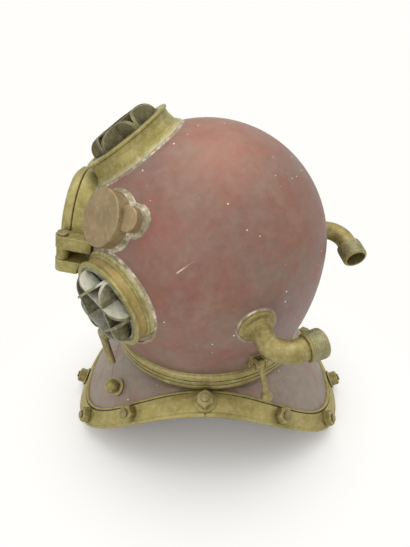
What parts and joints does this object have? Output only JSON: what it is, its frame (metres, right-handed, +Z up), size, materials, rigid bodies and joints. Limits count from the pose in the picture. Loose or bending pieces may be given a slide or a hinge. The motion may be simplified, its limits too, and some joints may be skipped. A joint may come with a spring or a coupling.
{
  "type": "diving helmet",
  "caption": "Copper diving helmet with brass-rimmed windows under domed guards, a hinged front door, a broken-thread neck joint and a strapped breastplate.",
  "frame": {"origin": "on the floor beneath the bonnet's vertical axis; the part stands on the front and back edges of its breastplate", "axes": "+Z up along the bonnet's axis, -Y the way that the diver looks, +X the diver's left"},
  "size_m": [0.3709, 0.4566, 0.4684],
  "materials": {
    "copper": "dull aged copper, brownish pink with redder patches",
    "brass": "aged olive-gold brass with pale patina",
    "dark_brass": "dark worn brass",
    "cup_brass": "tan worn brass",
    "glass": "thick greenish plate glass",
    "leather": "dark oiled leather",
    "rubber": "black rubber",
    "spring_steel": "spring wire"
  },
  "bodies": {
    "breastplate": {"breastplate_shell": "copper", "breastplate_collar": "brass", "neck_gasket": "leather", "brail_front_left": "brass", "brail_front_right": "brass", "brail_back_left": "brass", "brail_back_right": "brass", "rim_studs": "dark_brass", "rim_nuts": "brass", "joint_nuts": "brass", "lanyard_stud_left": "brass", "lanyard_stud_right": "brass"},
    "bonnet": {"bonnet_shell": "copper", "bonnet_ring": "brass", "front_port_ring": "brass", "hinge_pin": "dark_brass", "bolt_pin": "dark_brass", "faceplate_gasket": "rubber", "top_window_ring": "brass", "top_window_glass": "glass", "top_window_guard": "brass", "left_window_ring": "brass", "left_window_glass": "glass", "left_window_guard": "brass", "right_window_ring": "brass", "right_window_glass": "glass", "right_window_guard": "brass", "telephone_cup": "cup_brass", "lead_boss": "cup_brass", "speaker_unit": "rubber", "speaker_clamp": "brass", "air_elbow": "brass", "air_sleeve": "brass", "telephone_elbow": "brass", "telephone_sleeve": "brass", "exhaust_body": "brass", "spitcock_body": "brass", "latch_bracket": "brass", "latch_pin": "dark_brass"},
    "faceplate": {"faceplate_frame": "brass", "faceplate_fork": "brass", "faceplate_glass": "glass", "faceplate_retainer": "brass"},
    "swing_bolt": {"swing_bolt": "dark_brass"},
    "wing_nut": {"wing_nut": "brass"},
    "spitcock_plug": {"spitcock_plug": "dark_brass"},
    "exhaust_wheel": {"exhaust_wheel": "brass"},
    "exhaust_stem": {"exhaust_stem": "dark_brass", "exhaust_spring": "spring_steel"},
    "latch_lever": {"latch_lever": "brass"},
    "check_valve": {"check_valve": "dark_brass"}
  },
  "joints": [
    {"name": "bonnet_turn", "type": "hinge", "parent": "breastplate", "child": "bonnet", "pos_m": [0, 0, 0.149], "axis": [0, 0, 1], "range_deg": [0, 45]},
    {"name": "faceplate_swing", "type": "hinge", "parent": "bonnet", "child": "faceplate", "pos_m": [0.078, -0.17378, 0.31316], "axis": [0, 0.2079, 0.9781], "range_deg": [0, 120]},
    {"name": "swing_bolt_swing", "type": "hinge", "parent": "bonnet", "child": "swing_bolt", "pos_m": [-0.077, -0.1565, 0.32227], "axis": [0, 0.2079, 0.9781], "range_deg": [0, 75]},
    {"name": "wing_nut_turn", "type": "hinge", "parent": "swing_bolt", "child": "wing_nut", "pos_m": [-0.10598, -0.1641, 0.32388], "axis": [-0.9659, -0.2532, 0.0538], "continuous": true},
    {"name": "spitcock_turn", "type": "hinge", "parent": "bonnet", "child": "spitcock_plug", "pos_m": [0.08875, -0.12914, 0.197], "axis": [-0.5664, 0.8241, 0], "range_deg": [0, 90]},
    {"name": "exhaust_wheel_turn", "type": "hinge", "parent": "bonnet", "child": "exhaust_wheel", "pos_m": [-0.16134, 0.07869, 0.24424], "axis": [-0.8721, 0.4253, -0.2419], "range_deg": [0, 540]},
    {"name": "exhaust_stem_push", "type": "slide", "parent": "bonnet", "child": "exhaust_stem", "axis": [-0.8721, 0.4253, -0.2419], "range_m": [0, 0.006], "stiffness_N_per_m": 400, "springref_m": -0.004},
    {"name": "latch_swing", "type": "hinge", "parent": "bonnet", "child": "latch_lever", "pos_m": [0.1398, 0.06818, 0.1905], "axis": [0.4384, -0.8988, 0], "range_deg": [0, 90]},
    {"name": "check_valve_lift", "type": "slide", "parent": "bonnet", "child": "check_valve", "axis": [0.3532, -0.9299, -0.1024], "range_m": [0, 0.004], "stiffness_N_per_m": 60, "springref_m": -0.003}
  ]
}
